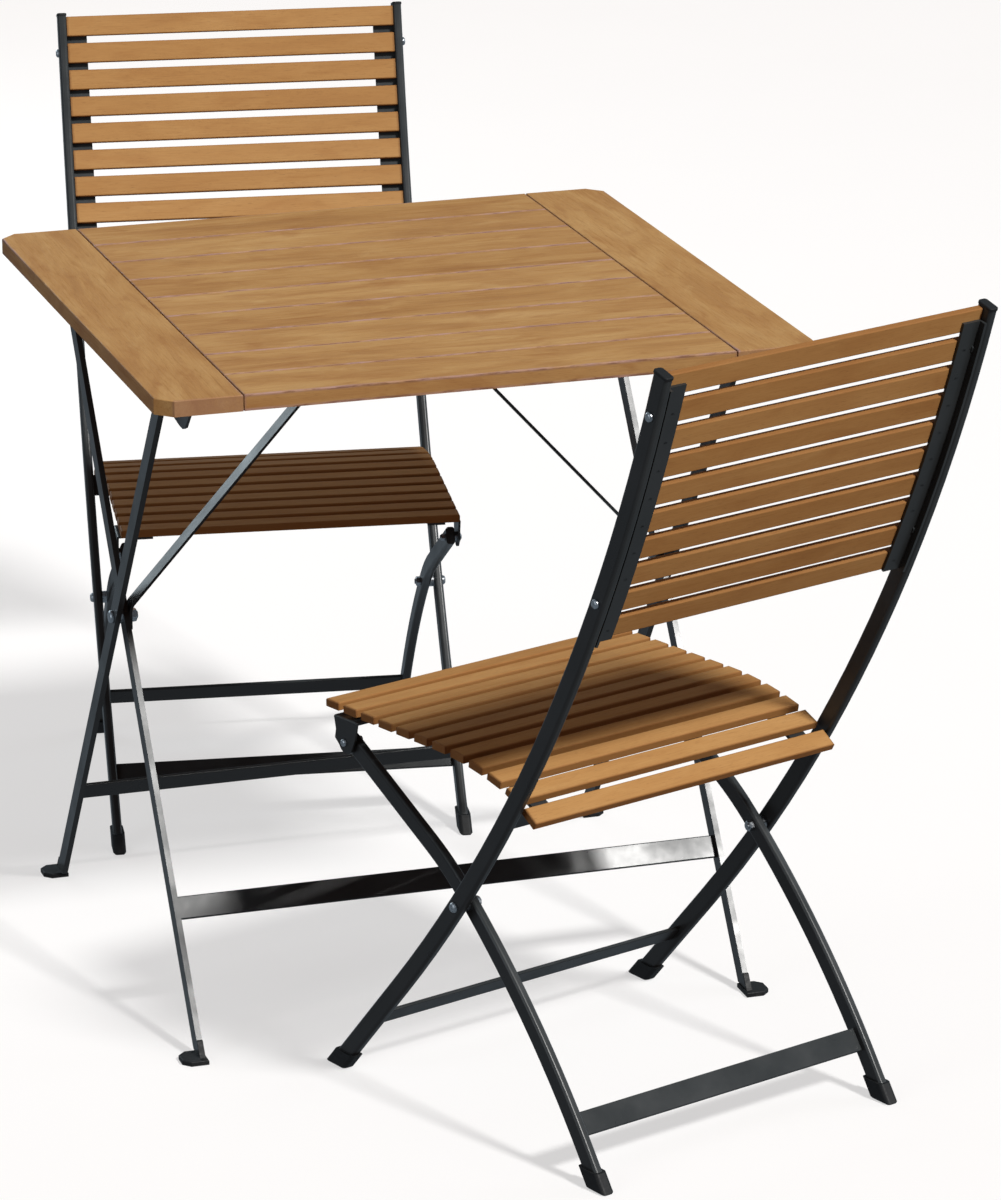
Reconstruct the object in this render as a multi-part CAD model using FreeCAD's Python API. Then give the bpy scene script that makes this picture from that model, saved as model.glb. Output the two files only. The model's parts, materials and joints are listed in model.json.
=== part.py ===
"""Folding patio dining set: a square slatted table and two folding slatted chairs.

Units are millimetres, +Z is up and the set stands on Z = 0.  The origin is on the ground at the
middle of the set's outline.  Every item is first built in a frame of its own and then stood in its
place in the set.  In the table's frame X runs along the slats and the front edge is at -Y.  In a
chair's frame X runs across the chair and the person on it looks along -Y.
"""
import FreeCAD, Part
import math
import os

os.makedirs("parts", exist_ok=True)

# --- places of the three items in the set (x, y, turn about Z in degrees) -------------------
TABLE_PLACE = (-24.0, -10.0, 0.0)
FRONT_CHAIR_PLACE = (68.4, -485.9, -160.54)
REAR_CHAIR_PLACE = (-26.4, 506.9, -8.78)

# --- gaps ------------------------------------------------------------------------------------
FACE_GAP = 0.3            # between flat faces of pieces that turn against each other
PIN_GAP = 0.05            # radial clearance of a bolt or rod that turns in a hole

# --- table top -------------------------------------------------------------------------------
TOP_SIZE = 700.0
TOP_HEIGHT = 734.0
TOP_THICK = 17.0
TOP_UNDER = TOP_HEIGHT - TOP_THICK
END_BOARD_WIDTH = 88.0
CORNER_CUT = 17.0
TABLE_SLATS = 9
SEAM = 1.2
BOARD_ROUND = 1.5
STRAP_WIDTH = 30.0
STRAP_THICK = 4.0
STRAP_LENGTH = 660.0
STRAP_OFFSET = 175.0

# --- table legs: two crossed frames of flat steel ---------------------------------------------
LEG_THICK = 6.0
LEG_DEPTH = 20.0
OUTER_LEG_X = 313.0
INNER_LEG_X = 303.0
FOOT_SPREAD = 286.0       # from the table's middle to each pair of feet
PIVOT_HEIGHT = 397.0
TOP_AXIS_HEIGHT = 705.0   # height of the rods at the tops of both frames
TOP_ROD_RADIUS = 4.0
LEG_END = 9.0             # leg beyond the rod's axis
TABLE_BAR_HEIGHT = 25.0
TABLE_BAR_THICK = 4.0
TABLE_BAR_AT = 132.0
PAD_THICK = 5.0
PAD_INSIDE = 5.0
PAD_OUTSIDE = 22.0
PAD_LENGTH = 32.0
PAD_CUT = 8.0
TAB_HEIGHT = 15.0
TAB_THICK = 2.5
TABLE_BOLT_RADIUS = 4.0
PLATE_THICK = 3.0
PLATE_FLANGE = 20.0
HINGE_PLATE_X = 289.0
CATCH_PLATE_X = 303.0

# --- table brace: two twisted flat bars from the crossing bolts to the middle of the top -------
BRACE_WIDTH = 20.0
BRACE_THICK = 3.0
BRACE_LUG_TOP = 409.0
BRACE_TOP = 712.4
BRACE_TAB = 22.0
STUD_RADIUS = 4.0
STUD_HEIGHT = 4.0

# --- chair frame -----------------------------------------------------------------------------
MAIN_X = 200.8            # middle of each main tube
MAIN_WIDTH = 10.0
MAIN_DEPTH = 20.0
MAIN_FOOT = (-212.9, 0.0)
MAIN_HEADING = 48.1
MAIN_RUNS = ((164.0, 0.0), (856.0, 25.0))
REAR_X = 185.3            # middle of each rear leg
REAR_WIDTH = 10.0
REAR_DEPTH = 20.0
SEAT_PIVOT = (-205.2, 355.0)
REAR_END = 10.0           # leg beyond the seat pivot
REAR_HEADING = -27.9
REAR_RUNS = ((153.0, 0.0), (64.0, -11.3), (297.0, -16.0), (40.0, 0.0))
TUBE_WALL = 1.5
TUBE_ROUND = 3.4
CHAIR_PIVOT = (-5.6, 238.8)
CHAIR_BOLT_RADIUS = 3.0
BOLT_CLEARANCE = 0.05
FOOT_FLOOR = 3.0          # plastic under a tube's end
FRONT_CAP_HEIGHT = 19.0
REAR_CAP_HEIGHT = 19.0
CAP_WALL = 2.5
CHAIR_BAR_HEIGHT = 25.0
CHAIR_BAR_THICK = 4.0
FRONT_BAR_AT = 94.0       # along the main tube from its foot
REAR_BAR_AT = 484.0       # along the rear leg from the seat pivot
REST_BAR_AT = 454.0       # along the main tube from its foot

# --- chair back ------------------------------------------------------------------------------
BACK_SLATS = 10
BACK_PITCH = 31.95
BACK_SLAT_HEIGHT = 23.6
BACK_SLAT_THICK = 7.5
BACK_SLAT_END_GAP = 0.4
BACK_SLAT_STANDS_OFF = 0.1     # straight slats before slightly curved angles
FIRST_BACK_SLAT = 13.1    # from the tube's top end to the middle of the first slat
ANGLE_THICK = 3.0
ANGLE_FLANGE = 24.0
ANGLE_SIDE = 9.5          # depth of the side on the tube, back from the tube's middle line
BACK_BOLTS_AT = (44.0, 262.0)  # from the tube's top end

# --- chair seat ------------------------------------------------------------------------------
SEAT_SLATS = 12
SEAT_PITCH = 30.3
SEAT_SLAT_WIDTH = 21.6
SEAT_SLAT_THICK = 8.5
SEAT_HALF = 192.2
SEAT_START = (-241.5, 384.0)
SEAT_HEADING = 1.5
SEAT_RUNS = ((185.0, 0.0), (105.0, -14.0), (45.0, -19.0), (11.0, 0.0))
RAIL_X = 166.0
RAIL_WIDTH = 20.0
RAIL_THICK = 4.0
SHEET = 2.5
EAR_GAP = 3.0             # between a rear leg and the bracket's ear
SCREW_HEAD = 3.2
SCREW_HEAD_THICK = 1.6
SCREW_SHANK = 1.6


def vec(x, y, z):
    return FreeCAD.Vector(x, y, z)


def box(x0, y0, z0, x1, y1, z1):
    return Part.makeBox(x1 - x0, y1 - y0, z1 - z0, vec(x0, y0, z0))


def rod(start, end, radius):
    """A round bar from one point to another."""
    way = end - start
    return Part.makeCylinder(radius, way.Length, start, way)


def mirrored(shape):
    """The same piece on the other side of its item."""
    return shape.mirror(vec(0, 0, 0), vec(1, 0, 0))


def pair(shape):
    return [shape, mirrored(shape)]


def group(shapes):
    """Separate solids that share one node."""
    solids = []
    for shape in shapes:
        solids.extend(shape.Solids)
    return Part.makeCompound(solids)


def edges_where(shape, test):
    return [edge for edge in shape.Edges if test(edge)]


def is_level(edge, height):
    low = edge.BoundBox.ZMin
    high = edge.BoundBox.ZMax
    return abs(low - height) < 1e-4 and abs(high - height) < 1e-4


def slab(outline, x0, x1):
    """A plate between x0 and x1 whose outline is given by edges in the Y-Z plane."""
    face = Part.Face(Part.Wire(outline))
    face.translate(vec(x0, 0, 0))
    return face.extrude(vec(x1 - x0, 0, 0))


def polygon_edges(points):
    """Straight edges through (y, z) points, closed."""
    corners = [vec(0, y, z) for y, z in points]
    following = corners[1:] + corners[:1]
    return [Part.LineSegment(a, b).toShape() for a, b in zip(corners, following)]


def rounded_rectangle(width, depth, corner):
    """A wire in the X-Y plane about the origin."""
    block = Part.makeBox(width, depth, 1, vec(-width / 2, -depth / 2, 0))
    upright = edges_where(block, lambda e: e.BoundBox.ZLength > 0.5)
    rounded = block.makeFillet(corner, upright)
    lowest = min(rounded.Faces, key=lambda f: f.CenterOfMass.z)
    return lowest.OuterWire


# --- paths of straight and evenly bent runs in the Y-Z plane -----------------------------------
def step(place, length, turn):
    """The place (y, z, heading in degrees) after one run that turns evenly by turn degrees."""
    y, z, heading = place
    chord = length
    if abs(turn) > 1e-9:
        half = math.radians(turn) / 2
        chord = length * math.sin(half) / half
    middle = math.radians(heading + turn / 2)
    return (y + chord * math.cos(middle), z + chord * math.sin(middle), heading + turn)


def along(start, heading, runs, distance):
    """The place (y, z, heading) at a distance along a path."""
    place = (start[0], start[1], heading)
    for length, turn in runs:
        if distance <= length:
            return step(place, distance, turn * distance / length)
        place = step(place, length, turn)
        distance -= length
    return step(place, distance, 0.0)


def path_length(runs):
    return sum(length for length, turn in runs)


def path_wire(start, heading, runs):
    """The path as one wire of lines and arcs in the plane X = 0."""
    edges = []
    place = (start[0], start[1], heading)
    for length, turn in runs:
        middle = step(place, length / 2, turn / 2)
        end = step(place, length, turn)
        a = vec(0, place[0], place[1])
        b = vec(0, middle[0], middle[1])
        c = vec(0, end[0], end[1])
        if abs(turn) < 1e-9:
            edges.append(Part.LineSegment(a, c).toShape())
        else:
            edges.append(Part.Arc(a, b, c).toShape())
        place = end
    return Part.Wire(edges)


def swept(start, heading, runs, section):
    """A section drawn in X-Y (X across, Y towards the front or top) carried along a path."""
    profile = section.copy()
    profile.rotate(vec(0, 0, 0), vec(1, 0, 0), heading + 90)
    profile.translate(vec(0, start[0], start[1]))
    shape = path_wire(start, heading, runs).makePipeShell([profile], True, False)
    return Part.Solid(shape) if shape.ShapeType == "Shell" else shape.Solids[0]


def at_place(shape, place):
    """Puts a shape drawn about the origin (Y along the path, Z off it) at a place on a path."""
    y, z, heading = place
    moved = shape.copy()
    moved.rotate(vec(0, 0, 0), vec(1, 0, 0), heading)
    moved.translate(vec(0, y, z))
    return moved


# --- fasteners -------------------------------------------------------------------------------
def dome_head(face, radius, height):
    """A domed bolt head standing on the plane X = face, towards +X."""
    head = Part.makeCylinder(radius, height, vec(face, 0, 0), vec(1, 0, 0))
    rim = edges_where(head, lambda e: e.BoundBox.XMin > face + height / 2 and e.BoundBox.YLength > 1)
    return head.makeFillet(height * 0.75, rim)


def hex_nut(face, across_flats, height):
    """A nut on the plane X = face, towards -X."""
    radius = across_flats / math.sqrt(3)
    points = []
    for corner in range(6):
        angle = math.radians(60 * corner)
        points.append((radius * math.cos(angle), radius * math.sin(angle)))
    nut = slab(polygon_edges(points), face - height, face)
    narrow = across_flats / 2
    cone = Part.makeCone(narrow, narrow + height, height, vec(face - height, 0, 0), vec(1, 0, 0))
    return nut.common(cone)


def cross_bolt(place, radius, outer_face, inner_face, head_radius, head_height, nut_height):
    """A bolt along X with its domed head outside and its nut inside, as two solids."""
    shank = rod(vec(inner_face - nut_height - 1.5, 0, 0), vec(outer_face, 0, 0), radius)
    bolt = shank.fuse(dome_head(outer_face, head_radius, head_height)).removeSplitter()
    nut = hex_nut(inner_face, 2 * head_radius - 1, nut_height).cut(shank)
    pieces = []
    for piece in (bolt, nut):
        piece.translate(vec(0, place[0], place[1]))
        pieces.append(piece)
    return pieces


def ring(place, x0, x1, radius, hole):
    """A spacer ring along X."""
    centre = vec(x0, place[0], place[1])
    outer = Part.makeCylinder(radius, x1 - x0, centre, vec(1, 0, 0))
    return outer.cut(Part.makeCylinder(hole, x1 - x0, centre, vec(1, 0, 0)))


def bore(shape, place, radius, x0, x1):
    """The shape with a hole along X."""
    return shape.cut(Part.makeCylinder(radius, x1 - x0, vec(x0, place[0], place[1]), vec(1, 0, 0)))


def screw(shank_length):
    """A pan-head screw about the origin: shank towards +Z, head towards -Z."""
    shank = Part.makeCylinder(SCREW_SHANK, shank_length)
    head = Part.makeCylinder(SCREW_HEAD, SCREW_HEAD_THICK, vec(0, 0, -SCREW_HEAD_THICK))
    rim = edges_where(head, lambda e: is_level(e, -SCREW_HEAD_THICK))
    return shank.fuse(head.makeFillet(SCREW_HEAD_THICK * 0.6, rim)).removeSplitter()


# --- table top -------------------------------------------------------------------------------
def board(x0, y0, x1, y1):
    """One board of the top, with its upper edges rounded over."""
    plank = box(x0, y0, TOP_UNDER, x1, y1, TOP_HEIGHT)
    rim = edges_where(plank, lambda e: is_level(e, TOP_HEIGHT))
    return plank.makeFillet(BOARD_ROUND, rim)


def end_board():
    """The wide board across the slats' right ends, with both outer corners cut off."""
    half = TOP_SIZE / 2
    inner = half - END_BOARD_WIDTH
    cut = CORNER_CUT
    points = ((inner, -half), (half - cut, -half), (half, -half + cut))
    points += ((half, half - cut), (half - cut, half), (inner, half))
    corners = [vec(x, y, TOP_UNDER) for x, y in points]
    face = Part.Face(Part.makePolygon(corners + corners[:1]))
    plank = face.extrude(vec(0, 0, TOP_THICK))
    rim = edges_where(plank, lambda e: is_level(e, TOP_HEIGHT))
    return plank.makeFillet(BOARD_ROUND, rim)


def slat_middle(number):
    pitch = TOP_SIZE / TABLE_SLATS
    return -TOP_SIZE / 2 + pitch * (number + 0.5)


def strap_screws(strap_x):
    """One screw through a strap into each slat."""
    shapes = []
    for number in range(TABLE_SLATS):
        piece = screw(STRAP_THICK + 9)
        piece.translate(vec(strap_x, slat_middle(number) + 20, TOP_UNDER - STRAP_THICK))
        shapes.append(piece)
    return shapes


def strap_positions():
    return (-STRAP_OFFSET, 0.0, STRAP_OFFSET)


def bracket_screws():
    """Two screws through the flange of each hinge and catch plate."""
    shapes = []
    places = []
    for y in (TOP_AXIS_Y - 22, TOP_AXIS_Y + 22):
        places.append((HINGE_PLATE_X - PLATE_FLANGE / 2, y))
    for y in (-TOP_AXIS_Y - 62, -TOP_AXIS_Y + 8):
        places.append((CATCH_PLATE_X - PLATE_FLANGE / 2, y))
    for x, y in places:
        piece = screw(PLATE_THICK + 9)
        piece.translate(vec(x, y, TOP_UNDER - PLATE_THICK))
        shapes.extend(pair(piece))
    return shapes


def table_slats(screws):
    inner = TOP_SIZE / 2 - END_BOARD_WIDTH - SEAM
    half_width = (TOP_SIZE / TABLE_SLATS - SEAM) / 2
    slats = []
    for number in range(TABLE_SLATS):
        middle = slat_middle(number)
        low = max(middle - half_width, -TOP_SIZE / 2)
        high = min(middle + half_width, TOP_SIZE / 2)
        slats.append(board(-inner, low, inner, high).cut(screws))
    return group(slats)


def strap(x, screws):
    """A flat steel strap that ties the slats together from below."""
    half = STRAP_LENGTH / 2
    bar = box(x - STRAP_WIDTH / 2, -half, TOP_UNDER - STRAP_THICK, x + STRAP_WIDTH / 2, half, TOP_UNDER)
    upright = edges_where(bar, lambda e: e.BoundBox.ZLength > 1)
    return bar.makeFillet(4, upright).cut(screws)


def brace_slot():
    """The slot in the middle strap that takes the stud on top of the brace."""
    radius = STUD_RADIUS + 0.5
    low = TOP_UNDER - STRAP_THICK - 1
    high = TOP_UNDER
    shape = Part.makeCylinder(radius, high - low, vec(0, 0, low))
    shape = shape.fuse(Part.makeCylinder(radius, high - low, vec(0, 12, low)))
    return shape.fuse(box(-radius, 0, low, radius, 12, high))


# The tops of both leg frames lie on lines from the feet through the crossing bolts.
LEG_SLOPE = FOOT_SPREAD / PIVOT_HEIGHT
TOP_AXIS_Y = LEG_SLOPE * (TOP_AXIS_HEIGHT - PIVOT_HEIGHT)
LEG_LEAN = math.degrees(math.atan(LEG_SLOPE))


def hinge_plate():
    """The right-hand plate under the top's rear half that turns on the inner frame's rod."""
    y = TOP_AXIS_Y
    z = TOP_AXIS_HEIGHT
    tongue = Part.Arc(vec(0, y + 9, z - 3), vec(0, y, z - 10), vec(0, y - 9, z - 3)).toShape()
    points = ((y - 9, z - 3), (y - 9, TOP_UNDER), (y + 9, TOP_UNDER), (y + 9, z - 3))
    corners = [vec(0, a, b) for a, b in points]
    sides = [Part.LineSegment(a, b).toShape() for a, b in zip(corners[:-1], corners[1:])]
    outer = HINGE_PLATE_X + PLATE_THICK / 2
    plate = slab(sides + [tongue], outer - PLATE_THICK, outer)
    flange = box(outer - PLATE_FLANGE, y - 34, TOP_UNDER - PLATE_THICK, outer, y + 34, TOP_UNDER)
    shape = plate.fuse(flange).removeSplitter()
    return bore(shape, (y, z), TOP_ROD_RADIUS + PIN_GAP, 0, TOP_SIZE)


def catch_plate():
    """The right-hand hooked plate under the top's front edge that holds the outer frame's rod."""
    y = -TOP_AXIS_Y
    z = TOP_AXIS_HEIGHT
    points = ((y - 90, TOP_UNDER), (y - 58, z - 21), (y - 48, z - 25), (y - 36, z - 25))
    points += ((y + 30, z - 17), (y + 30, TOP_UNDER))
    outer = CATCH_PLATE_X + PLATE_THICK / 2
    plate = slab(polygon_edges(points), outer - PLATE_THICK, outer)
    flange = box(outer - PLATE_FLANGE, y - 80, TOP_UNDER - PLATE_THICK, outer, y + 26, TOP_UNDER)
    shape = plate.fuse(flange).removeSplitter()
    grip = TOP_ROD_RADIUS + 0.6
    shape = bore(shape, (y, z), grip, 0, TOP_SIZE)
    mouth = ((y, z - grip), (y + 40, z - grip - 6), (y + 40, z + grip), (y, z + grip))
    return shape.cut(slab(polygon_edges(mouth), outer - PLATE_THICK, outer))


# --- table legs ------------------------------------------------------------------------------
def leg_heading(rearwards):
    """Heading of a frame from its foot to its top; rearwards is True for the inner frame."""
    return 90 - LEG_LEAN if rearwards else 90 + LEG_LEAN


def leg_foot(rearwards):
    return -FOOT_SPREAD if rearwards else FOOT_SPREAD


def leg_place(rearwards, height):
    """The place (y, z, heading) on a frame's middle line at a height."""
    side = 1 if rearwards else -1
    return (side * LEG_SLOPE * (height - PIVOT_HEIGHT), height, leg_heading(rearwards))


def table_leg(x, rearwards):
    """One flat steel leg, cut level above its foot and rounded at its top."""
    foot = leg_foot(rearwards)
    top = leg_place(rearwards, TOP_AXIS_HEIGHT)
    below = leg_place(rearwards, -20.0)
    length = math.hypot(top[0] - below[0], top[1] - below[1]) + LEG_END
    bar = box(x - LEG_THICK / 2, 0, -LEG_DEPTH / 2, x + LEG_THICK / 2, length, LEG_DEPTH / 2)
    top_edges = edges_where(bar, lambda e: e.BoundBox.YMin > length - 1 and e.BoundBox.XLength > 1)
    bar = at_place(bar.makeFillet(LEG_END - 1, top_edges), below)
    bar = bar.cut(box(0, foot - 100, -100, TOP_SIZE, foot + 100, PAD_THICK))
    bar = bore(bar, (0, PIVOT_HEIGHT), leg_hole(rearwards), 0, TOP_SIZE)
    return bar


def leg_hole(rearwards):
    """The crossing bolt is fast in the inner legs and turns in the outer ones."""
    return TABLE_BOLT_RADIUS if rearwards else TABLE_BOLT_RADIUS + PIN_GAP


def table_crossbar(x, rearwards):
    """A flat bar between the inner faces of a frame's legs, in the frame's plane."""
    reach = x - LEG_THICK / 2
    half_height = TABLE_BAR_HEIGHT / 2
    half_thick = TABLE_BAR_THICK / 2
    bar = box(-reach, -half_height, -half_thick, reach, half_height, half_thick)
    lengthwise = edges_where(bar, lambda e: e.BoundBox.XLength > 1)
    return at_place(bar.makeFillet(1.2, lengthwise), leg_place(rearwards, TABLE_BAR_AT))


def top_rod(x, rearwards):
    """The round rod between the tops of a frame's legs."""
    y = TOP_AXIS_Y if rearwards else -TOP_AXIS_Y
    reach = x - LEG_THICK / 2
    return rod(vec(-reach, y, TOP_AXIS_HEIGHT), vec(reach, y, TOP_AXIS_HEIGHT), TOP_ROD_RADIUS)


def table_foot(x, rearwards):
    """The right-hand plastic foot: a flat pad that reaches outwards, and a tab up the leg's face."""
    outwards = -1 if rearwards else 1
    middle = leg_foot(rearwards) + outwards * 3.0
    x0 = x - PAD_INSIDE
    x1 = x + PAD_OUTSIDE
    y0 = middle - PAD_LENGTH / 2
    y1 = middle + PAD_LENGTH / 2
    cut = PAD_CUT
    points = ((x0, y0), (x1 - cut, y0), (x1, y0 + cut), (x1, y1 - cut), (x1 - cut, y1), (x0, y1))
    corners = [vec(a, b, 0) for a, b in points]
    pad = Part.Face(Part.makePolygon(corners + corners[:1])).extrude(vec(0, 0, PAD_THICK))
    rim = edges_where(pad, lambda e: is_level(e, PAD_THICK))
    pad = pad.makeFillet(1.2, rim)
    place = leg_place(rearwards, 0.0)
    face = LEG_DEPTH / 2 * (1 if rearwards else -1)
    z0 = min(face, face + TAB_THICK * (1 if rearwards else -1))
    tab = box(x - LEG_THICK / 2, -20, z0, x + LEG_THICK / 2, 40, z0 + TAB_THICK)
    tab = at_place(tab, place).common(box(0, -400, PAD_THICK - 1, TOP_SIZE, 400, PAD_THICK + TAB_HEIGHT))
    return pad.fuse(tab).removeSplitter()


def table_pivot_bolts():
    """Crossing bolts with their spacer rings and nuts."""
    place = (0.0, PIVOT_HEIGHT)
    outer = OUTER_LEG_X + LEG_THICK / 2 + FACE_GAP
    inner = INNER_LEG_X - LEG_THICK / 2 - BRACE_THICK - 2 * FACE_GAP
    pieces = cross_bolt(place, TABLE_BOLT_RADIUS, outer, inner, 7.0, 4.5, 6.0)
    ring_end = OUTER_LEG_X - LEG_THICK / 2 - FACE_GAP
    pieces.append(ring(place, INNER_LEG_X + LEG_THICK / 2, ring_end, 8.0, TABLE_BOLT_RADIUS))
    shapes = []
    for piece in pieces:
        shapes.extend(pair(piece))
    return group(shapes)


# --- table brace -----------------------------------------------------------------------------
def brace_section(x, z, lean):
    """The bar's section at a point of its run, which leans from upright by an angle."""
    width = BRACE_WIDTH / 2
    thick = BRACE_THICK / 2
    corners = ((-thick, -width), (thick, -width), (thick, width), (-thick, width))
    wire = Part.makePolygon([vec(a, b, 0) for a, b in corners + corners[:1]])
    wire.rotate(vec(0, 0, 0), vec(0, 1, 0), lean)
    wire.translate(vec(x, 0, z))
    return wire


def brace_bar():
    """The right-hand bar: a lug flat on the inner leg, a bend, the long run and a level tab."""
    lug_x = INNER_LEG_X - LEG_THICK / 2 - FACE_GAP - BRACE_THICK / 2
    tab_z = BRACE_TOP - BRACE_THICK / 2
    tab_x = BRACE_TAB
    rise = tab_z - BRACE_LUG_TOP
    lean = -math.degrees(math.atan2(lug_x - tab_x, rise))
    low = PIVOT_HEIGHT - 13.0
    stations = [(lug_x, low, 0.0), (lug_x, BRACE_LUG_TOP - 6, 0.0)]
    for part in (0.35, 0.7, 1.0):
        turn = lean * part
        away = 8.0 * part
        stations.append((lug_x - away * math.sin(math.radians(-turn)) / 2, BRACE_LUG_TOP - 6 + away, turn))
    run_start = stations[-1]
    slope = (tab_x - run_start[0]) / (tab_z - run_start[1])
    stations.append((tab_x + slope * -8.0, tab_z - 8.0, lean))
    stations.append((tab_x - 3.0, tab_z - 1.2, (lean - 90) / 2))
    stations.append((tab_x - 9.0, tab_z, -90.0))
    stations.append((0.3, tab_z, -90.0))
    wires = [brace_section(x, z, turn) for x, z, turn in stations]
    bar = Part.makeLoft(wires, True, True)
    return bore(bar, (0, PIVOT_HEIGHT), TABLE_BOLT_RADIUS + PIN_GAP, lug_x - 10, lug_x + 10)


def brace_stud():
    """The rivet that joins both bars; its stud stands up into the middle strap's slot."""
    low = BRACE_TOP - BRACE_THICK
    stud = Part.makeCylinder(STUD_RADIUS, STUD_HEIGHT + 0.1, vec(0, 0, BRACE_TOP))
    head = Part.makeCylinder(9.0, 2.0, vec(0, 0, low - 2.0))
    return stud, head


# --- chair frame -----------------------------------------------------------------------------
def extended(foot, heading, runs, extra):
    """The same path started earlier by extra, for ends that are cut level afterwards."""
    way = math.radians(heading)
    start = (foot[0] - extra * math.cos(way), foot[1] - extra * math.sin(way))
    longer = ((runs[0][0] + extra, runs[0][1]),) + tuple(runs[1:])
    return start, longer


def above(shape, height):
    """The part of a shape above a height."""
    return shape.common(box(-1000, -1000, height, 1000, 1000, 2000))


def between(shape, low, high):
    return shape.common(box(-1000, -1000, low, 1000, 1000, high))


def main_place(distance):
    """A place on the main tube's middle line, measured from its foot."""
    return along(MAIN_FOOT, MAIN_HEADING, MAIN_RUNS, distance)


def main_from_top(distance):
    return main_place(path_length(MAIN_RUNS) - distance)


def main_sweep(width, depth, corner):
    start, runs = extended(MAIN_FOOT, MAIN_HEADING, MAIN_RUNS, 30.0)
    shape = swept(start, MAIN_HEADING, runs, rounded_rectangle(width, depth, corner))
    shape.translate(vec(MAIN_X, 0, 0))
    return shape


def main_tube():
    """The right-hand main tube: front foot, long bend and back in one piece."""
    outer = main_sweep(MAIN_WIDTH, MAIN_DEPTH, TUBE_ROUND)
    inner = main_sweep(MAIN_WIDTH - 2 * TUBE_WALL, MAIN_DEPTH - 2 * TUBE_WALL, TUBE_ROUND - TUBE_WALL)
    tube = above(outer, FOOT_FLOOR).cut(inner)
    tube = bore(tube, CHAIR_PIVOT, CHAIR_BOLT_RADIUS, 0, 400)
    for distance in BACK_BOLTS_AT:
        tube = bore(tube, main_from_top(distance)[:2], CHAIR_BOLT_RADIUS, 0, 400)
    return tube


def tube_cap():
    """The plastic plug in the top end of the main tube."""
    plug_depth = MAIN_DEPTH - 2 * TUBE_WALL - 0.2
    plug_width = MAIN_WIDTH - 2 * TUBE_WALL - 0.2
    plug_outline = rounded_rectangle(plug_width, plug_depth, TUBE_ROUND - TUBE_WALL)
    plug = Part.Face(plug_outline).extrude(vec(0, 0, 14))
    lid = Part.Face(rounded_rectangle(MAIN_WIDTH + 1.0, MAIN_DEPTH + 1.0, TUBE_ROUND)).extrude(vec(0, 0, 3))
    rim = edges_where(lid, lambda e: is_level(e, 3.0))
    lid = lid.makeFillet(1.0, rim)
    lid.translate(vec(0, 0, 14))
    cap = plug.fuse(lid).removeSplitter()
    cap.translate(vec(0, 0, -14))
    y, z, heading = main_from_top(0.0)
    cap.rotate(vec(0, 0, 0), vec(1, 0, 0), heading - 90)
    cap.translate(vec(MAIN_X, y, z))
    return cap


def front_foot_cap():
    sleeve = main_sweep(MAIN_WIDTH + 2 * CAP_WALL, MAIN_DEPTH + 2 * CAP_WALL, TUBE_ROUND + 1)
    sleeve = between(sleeve, 0.0, FRONT_CAP_HEIGHT)
    rim = edges_where(sleeve, lambda e: is_level(e, 0.0))
    sleeve = sleeve.makeChamfer(1.5, rim)
    return sleeve.cut(above(main_sweep(MAIN_WIDTH, MAIN_DEPTH, TUBE_ROUND), FOOT_FLOOR))


def rear_path_start():
    way = math.radians(REAR_HEADING)
    return (SEAT_PIVOT[0] - REAR_END * math.cos(way), SEAT_PIVOT[1] - REAR_END * math.sin(way))


def rear_path(end_trim):
    """The rear leg's runs from its top end, with the straight foot longer by end_trim."""
    first = (REAR_RUNS[0][0] + REAR_END, 0.0)
    last = (REAR_RUNS[3][0] + end_trim, 0.0)
    return (first, REAR_RUNS[1], REAR_RUNS[2], last)


def rear_place(distance):
    """A place on the rear leg's middle line, measured from the seat pivot."""
    return along(rear_path_start(), REAR_HEADING, rear_path(0.0), distance + REAR_END)


def rear_sweep(width, depth, corner, top_trim):
    """The leg's section swept from its top end, or from top_trim below it, to below the floor."""
    runs = rear_path(30.0)
    runs = ((runs[0][0] - top_trim, 0.0),) + runs[1:]
    way = math.radians(REAR_HEADING)
    top = rear_path_start()
    start = (top[0] + top_trim * math.cos(way), top[1] + top_trim * math.sin(way))
    shape = swept(start, REAR_HEADING, runs, rounded_rectangle(width, depth, corner))
    shape.translate(vec(REAR_X, 0, 0))
    return shape


def rear_leg():
    """The right-hand rear leg, closed at its top end."""
    outer = rear_sweep(REAR_WIDTH, REAR_DEPTH, TUBE_ROUND, 0.0)
    inner = rear_sweep(REAR_WIDTH - 2 * TUBE_WALL, REAR_DEPTH - 2 * TUBE_WALL, TUBE_ROUND - TUBE_WALL, 2.0)
    leg = above(outer, FOOT_FLOOR).cut(inner)
    leg = bore(leg, CHAIR_PIVOT, CHAIR_BOLT_RADIUS + PIN_GAP, 0, 400)
    return bore(leg, SEAT_PIVOT, CHAIR_BOLT_RADIUS + PIN_GAP, 0, 400)


def rear_foot_cap():
    sleeve = rear_sweep(REAR_WIDTH + 2 * CAP_WALL, REAR_DEPTH + 2 * CAP_WALL, TUBE_ROUND + 1, 0.0)
    sleeve = between(sleeve, 0.0, REAR_CAP_HEIGHT)
    rim = edges_where(sleeve, lambda e: is_level(e, 0.0))
    sleeve = sleeve.makeChamfer(1.5, rim)
    return sleeve.cut(above(rear_sweep(REAR_WIDTH, REAR_DEPTH, TUBE_ROUND, 0.0), FOOT_FLOOR))


def chair_crossbar(reach, place):
    """A flat bar in the plane of a pair of legs."""
    half = CHAIR_BAR_HEIGHT / 2
    thick = CHAIR_BAR_THICK / 2
    bar = box(-reach, -half, -thick, reach, half, thick)
    lengthwise = edges_where(bar, lambda e: e.BoundBox.XLength > 1)
    return at_place(bar.makeFillet(1.2, lengthwise), place)


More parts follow.
